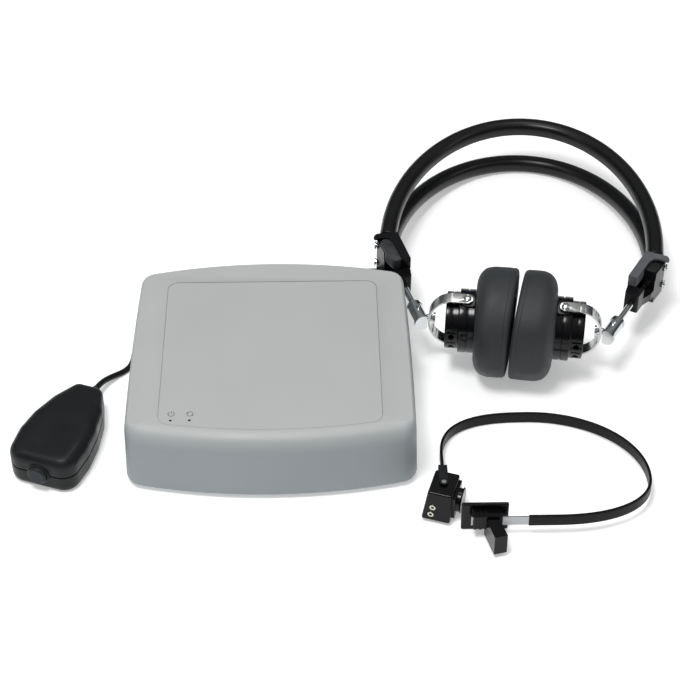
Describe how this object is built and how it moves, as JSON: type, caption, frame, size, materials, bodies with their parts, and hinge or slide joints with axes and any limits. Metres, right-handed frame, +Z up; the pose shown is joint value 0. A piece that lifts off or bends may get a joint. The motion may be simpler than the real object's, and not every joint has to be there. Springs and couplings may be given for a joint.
{
  "type": "portable screening audiometer set",
  "caption": "Desk-top hearing test set: flat console with a corded hand switch, a double-band headset with round ear cushions, and a bone vibrator on a steel hoop.",
  "frame": {"origin": "centre of the console footprint on the table", "axes": "+X to the right along the console front, +Y to the back, +Z up; the set rests on Z = 0"},
  "size_m": [0.3901, 0.3579, 0.0663],
  "materials": {
    "top_cover": "fine texture",
    "base_tray": "fine texture",
    "rear_panel": "fine texture",
    "top_panel": "fine texture",
    "power_light": "polished",
    "status_light": "polished",
    "main_board": "fine texture",
    "board_parts": "fine texture",
    "jack_response": "fine texture",
    "jack_bone": "fine texture",
    "jack_left": "fine texture",
    "jack_right": "fine texture",
    "jack_nuts": "polished",
    "usb_socket": "satin",
    "console_feet": "satin",
    "case_screws": "satin",
    "board_screws": "satin",
    "handset_top": "fine texture",
    "handset_base": "fine texture",
    "button_ring": "fine texture",
    "push_button": "fine texture",
    "press_switch": "fine texture",
    "handset_relief": "satin",
    "handset_screws": "satin",
    "response_cord": "satin",
    "response_hank": "satin",
    "hank_tie": "fine texture",
    "response_cord_end": "satin",
    "response_plug": "fine texture",
    "upper_sleeve": "satin",
    "upper_spring": "satin",
    "lower_sleeve": "satin",
    "lower_spring": "satin",
    "band_rivets": "satin",
    "left_block": "fine texture",
    "right_block": "fine texture",
    "left_rod": "polished",
    "right_rod": "polished",
    "left_bush": "polished",
    "right_bush": "polished",
    "left_yoke": "polished",
    "right_yoke": "polished",
    "left_case": "polished",
    "right_case": "polished",
    "left_driver": "satin",
    "right_driver": "satin",
    "left_pivots": "polished",
    "right_pivots": "polished",
    "left_cushion": "satin",
    "right_cushion": "satin",
    "hoop_strip": "satin",
    "hoop_sleeve": "satin",
    "vibrator_fork": "satin",
    "vibrator_case": "polished",
    "vibrator_face": "polished",
    "vibrator_motor": "satin",
    "lead_sockets": "plated",
    "vibrator_pins": "satin",
    "temple_pad": "fine texture"
  },
  "bodies": {
    "console": {"top_cover": "top_cover", "base_tray": "base_tray", "rear_panel": "rear_panel", "top_panel": "top_panel", "power_light": "power_light", "status_light": "status_light", "main_board": "main_board", "board_parts": "board_parts", "jack_response": "jack_response", "jack_bone": "jack_bone", "jack_left": "jack_left", "jack_right": "jack_right", "jack_nuts": "jack_nuts", "usb_socket": "usb_socket", "console_feet": "console_feet", "case_screws": "case_screws", "board_screws": "board_screws", "handset_top": "handset_top", "handset_base": "handset_base", "button_ring": "button_ring", "press_switch": "press_switch", "handset_relief": "handset_relief", "handset_screws": "handset_screws", "response_cord": "response_cord", "response_hank": "response_hank", "hank_tie": "hank_tie", "response_cord_end": "response_cord_end", "response_plug": "response_plug"},
    "response_button": {"push_button": "push_button"},
    "headset": {"lower_sleeve": "lower_sleeve", "lower_spring": "lower_spring", "band_rivets": "band_rivets", "left_block": "left_block", "right_block": "right_block"},
    "upper_band": {"upper_sleeve": "upper_sleeve", "upper_spring": "upper_spring"},
    "left_slider": {"left_rod": "left_rod", "left_bush": "left_bush"},
    "right_slider": {"right_rod": "right_rod", "right_bush": "right_bush"},
    "left_swivel": {"left_yoke": "left_yoke"},
    "right_swivel": {"right_yoke": "right_yoke"},
    "left_earphone": {"left_case": "left_case", "left_driver": "left_driver", "left_pivots": "left_pivots", "left_cushion": "left_cushion"},
    "right_earphone": {"right_case": "right_case", "right_driver": "right_driver", "right_pivots": "right_pivots", "right_cushion": "right_cushion"},
    "bone_hoop": {"hoop_strip": "hoop_strip", "hoop_sleeve": "hoop_sleeve", "vibrator_fork": "vibrator_fork"},
    "vibrator": {"vibrator_case": "vibrator_case", "vibrator_face": "vibrator_face", "vibrator_motor": "vibrator_motor", "lead_sockets": "lead_sockets", "vibrator_pins": "vibrator_pins"},
    "temple_rest": {"temple_pad": "temple_pad"}
  },
  "joints": [
    {"name": "response_button_press", "type": "slide", "parent": "console", "child": "response_button", "axis": [0.3355, 0.9421, 0], "range_m": [0, 0.002], "stiffness_N_per_m": 400, "springref_m": -0.002},
    {"name": "headset_lift", "type": "slide", "parent": "console", "child": "headset", "axis": [0, 0, 1], "range_m": [0, 0.12]},
    {"name": "upper_band_fan", "type": "hinge", "parent": "headset", "child": "upper_band", "pos_m": [0.15189, 0.08967, 0.03599], "axis": [0.9903, -0.1392, 0], "range_deg": [-6, 12]},
    {"name": "left_rod_slide", "type": "slide", "parent": "headset", "child": "left_slider", "axis": [-0.254, 0.9659, -0.0507], "range_m": [-0.004, 0]},
    {"name": "right_rod_slide", "type": "slide", "parent": "headset", "child": "right_slider", "axis": [0.5103, 0.8585, -0.0507], "range_m": [0, 0.012]},
    {"name": "left_yoke_swivel", "type": "hinge", "parent": "left_slider", "child": "left_swivel", "pos_m": [0.09399, 0.03696, 0.033], "axis": [0.9903, -0.1392, 0], "range_deg": [-30, 30]},
    {"name": "right_yoke_swivel", "type": "hinge", "parent": "right_slider", "child": "right_swivel", "pos_m": [0.19301, 0.02304, 0.033], "axis": [0.9903, -0.1392, 0], "range_deg": [-30, 30]},
    {"name": "left_earphone_tilt", "type": "hinge", "parent": "left_swivel", "child": "left_earphone", "pos_m": [0.11518, 0.03398, 0.033], "axis": [-0.031, -0.2202, 0.975], "range_deg": [-4, 3]},
    {"name": "right_earphone_tilt", "type": "hinge", "parent": "right_swivel", "child": "right_earphone", "pos_m": [0.17182, 0.02602, 0.033], "axis": [-0.031, -0.2202, 0.975], "range_deg": [-3, 4]},
    {"name": "bone_set_lift", "type": "slide", "parent": "console", "child": "bone_hoop", "axis": [0, 0, 1], "range_m": [0, 0.12]},
    {"name": "vibrator_tip", "type": "hinge", "parent": "bone_hoop", "child": "vibrator", "pos_m": [0.095, -0.0864, 0.011], "axis": [0, 0, 1], "range_deg": [-8, 15]},
    {"name": "temple_pad_slide", "type": "slide", "parent": "bone_hoop", "child": "temple_rest", "axis": [1, 0, 0], "range_m": [0, 0.007]}
  ]
}
